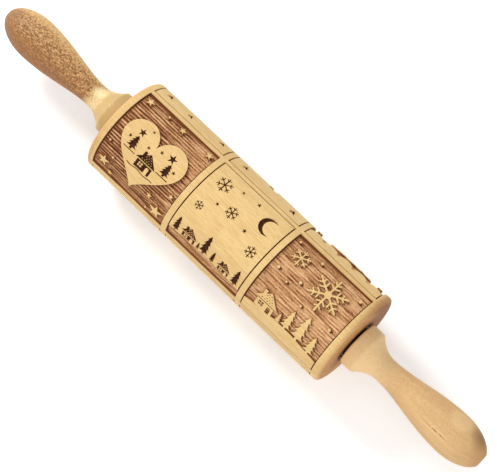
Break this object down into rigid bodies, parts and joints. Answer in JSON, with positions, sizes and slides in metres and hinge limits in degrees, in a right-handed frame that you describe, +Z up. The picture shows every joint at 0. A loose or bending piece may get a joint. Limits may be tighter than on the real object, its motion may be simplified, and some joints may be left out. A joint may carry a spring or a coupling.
{
  "type": "embossed rolling pin",
  "caption": "Wooden rolling pin whose carved roller turns on a hidden rod between two fixed turned handles.",
  "frame": {"origin": "middle of the rod, on the axis that the roller turns on, which is the centre of the whole pin", "axes": "+X along the pin towards the right-hand handle, +Z up when the pin lies on a table"},
  "size_m": [0.3624, 0.06, 0.0599],
  "materials": {
    "roller_wood": "satin",
    "handle_wood": "satin",
    "steel": "satin",
    "nylon": "matt"
  },
  "bodies": {
    "handles": {"handle_left": "handle_wood", "handle_right": "handle_wood", "axle_rod": "steel", "thrust_washer_left": "steel", "thrust_washer_right": "steel"},
    "roller": {"roller": "roller_wood", "bush_left": "nylon", "bush_right": "nylon"}
  },
  "joints": [
    {"name": "roller_spin", "type": "hinge", "parent": "handles", "child": "roller", "pos_m": [0, 0, 0], "axis": [1, 0, 0], "continuous": true}
  ]
}
